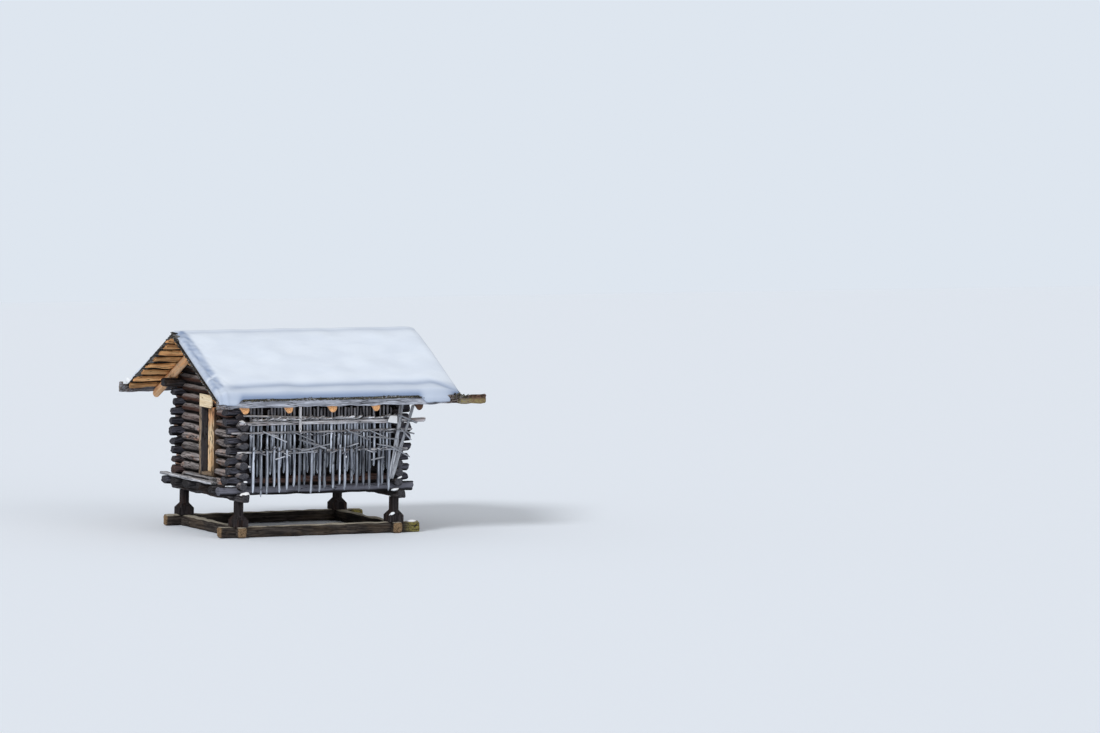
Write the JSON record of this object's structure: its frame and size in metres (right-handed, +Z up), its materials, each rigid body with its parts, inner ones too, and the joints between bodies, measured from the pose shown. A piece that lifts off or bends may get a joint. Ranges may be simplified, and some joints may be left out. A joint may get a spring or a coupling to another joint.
{
  "type": "log hay barn",
  "caption": "Small hay barn of saddle-notched round logs on posts over a sill frame, with a snow-covered gable roof, an inward-swinging gable door and hay drying stakes hung along one wall.",
  "frame": {"origin": "on the ground, at the middle of the footprint of the roof with its eave boards", "axes": "+X along the ridge away from the door gable, +Y away from the long wall with the stakes, +Z up"},
  "size_m": [7.2, 5.4, 4.8208],
  "materials": {
    "sill_wood": "old grey brown sill logs",
    "post_wood": "dark weathered hewn wood",
    "wall_logs": "weathered dark brown and grey logs",
    "floor_wood": "rough boards",
    "platform_wood": "weathered grey planks",
    "door_frame_wood": "tan hewn wood",
    "door_leaf_wood": "light knotty boards",
    "fresh_board": "fresh sawn board",
    "rafter_wood": "fresh orange brown poles",
    "shingles": "weathered split shingles",
    "eave_wood": "grey weathered plank",
    "snow": "settled snow, matt",
    "stake_wood": "silver grey weathered poles"
  },
  "bodies": {
    "barn": {"sill_near": "sill_wood", "sill_far": "sill_wood", "sill_left": "sill_wood", "sill_right": "sill_wood", "post_near_left": "post_wood", "post_near_right": "post_wood", "post_far_left": "post_wood", "post_far_right": "post_wood", "crossbeam_left": "post_wood", "crossbeam_right": "post_wood", "wall_near": "wall_logs", "wall_far": "wall_logs", "plate_near": "wall_logs", "plate_far": "wall_logs", "gable_left_wall": "wall_logs", "gable_left_beside_door_near": "wall_logs", "gable_left_beside_door_far": "wall_logs", "gable_right_wall": "wall_logs", "gable_left_top": "wall_logs", "gable_right_top": "wall_logs", "floor_joists": "wall_logs", "floor_boards": "floor_wood", "door_step": "platform_wood", "platform_plank": "platform_wood", "door_jamb_near": "door_frame_wood", "door_jamb_far": "door_frame_wood", "door_sill": "door_frame_wood", "door_head": "door_frame_wood", "door_head_board": "fresh_board", "rafters_near": "rafter_wood", "rafters_far": "rafter_wood", "battens_near": "rafter_wood", "battens_far": "rafter_wood", "roof_cover_near": "shingles", "roof_cover_far": "shingles", "eave_board_near": "eave_wood", "eave_board_far": "eave_wood", "roof_snow": "snow", "rack_rails": "stake_wood", "stakes_upper": "stake_wood", "stakes_lower": "stake_wood", "rack_poles": "stake_wood"},
    "door": {"door_stile": "door_leaf_wood", "door_boards": "door_leaf_wood", "door_ledges": "door_leaf_wood"}
  },
  "joints": [
    {"name": "door_hinge", "type": "hinge", "parent": "barn", "child": "door", "pos_m": [-2.28, 0.254, 2.2], "axis": [0, 0, 1], "range_deg": [0, 95]}
  ]
}
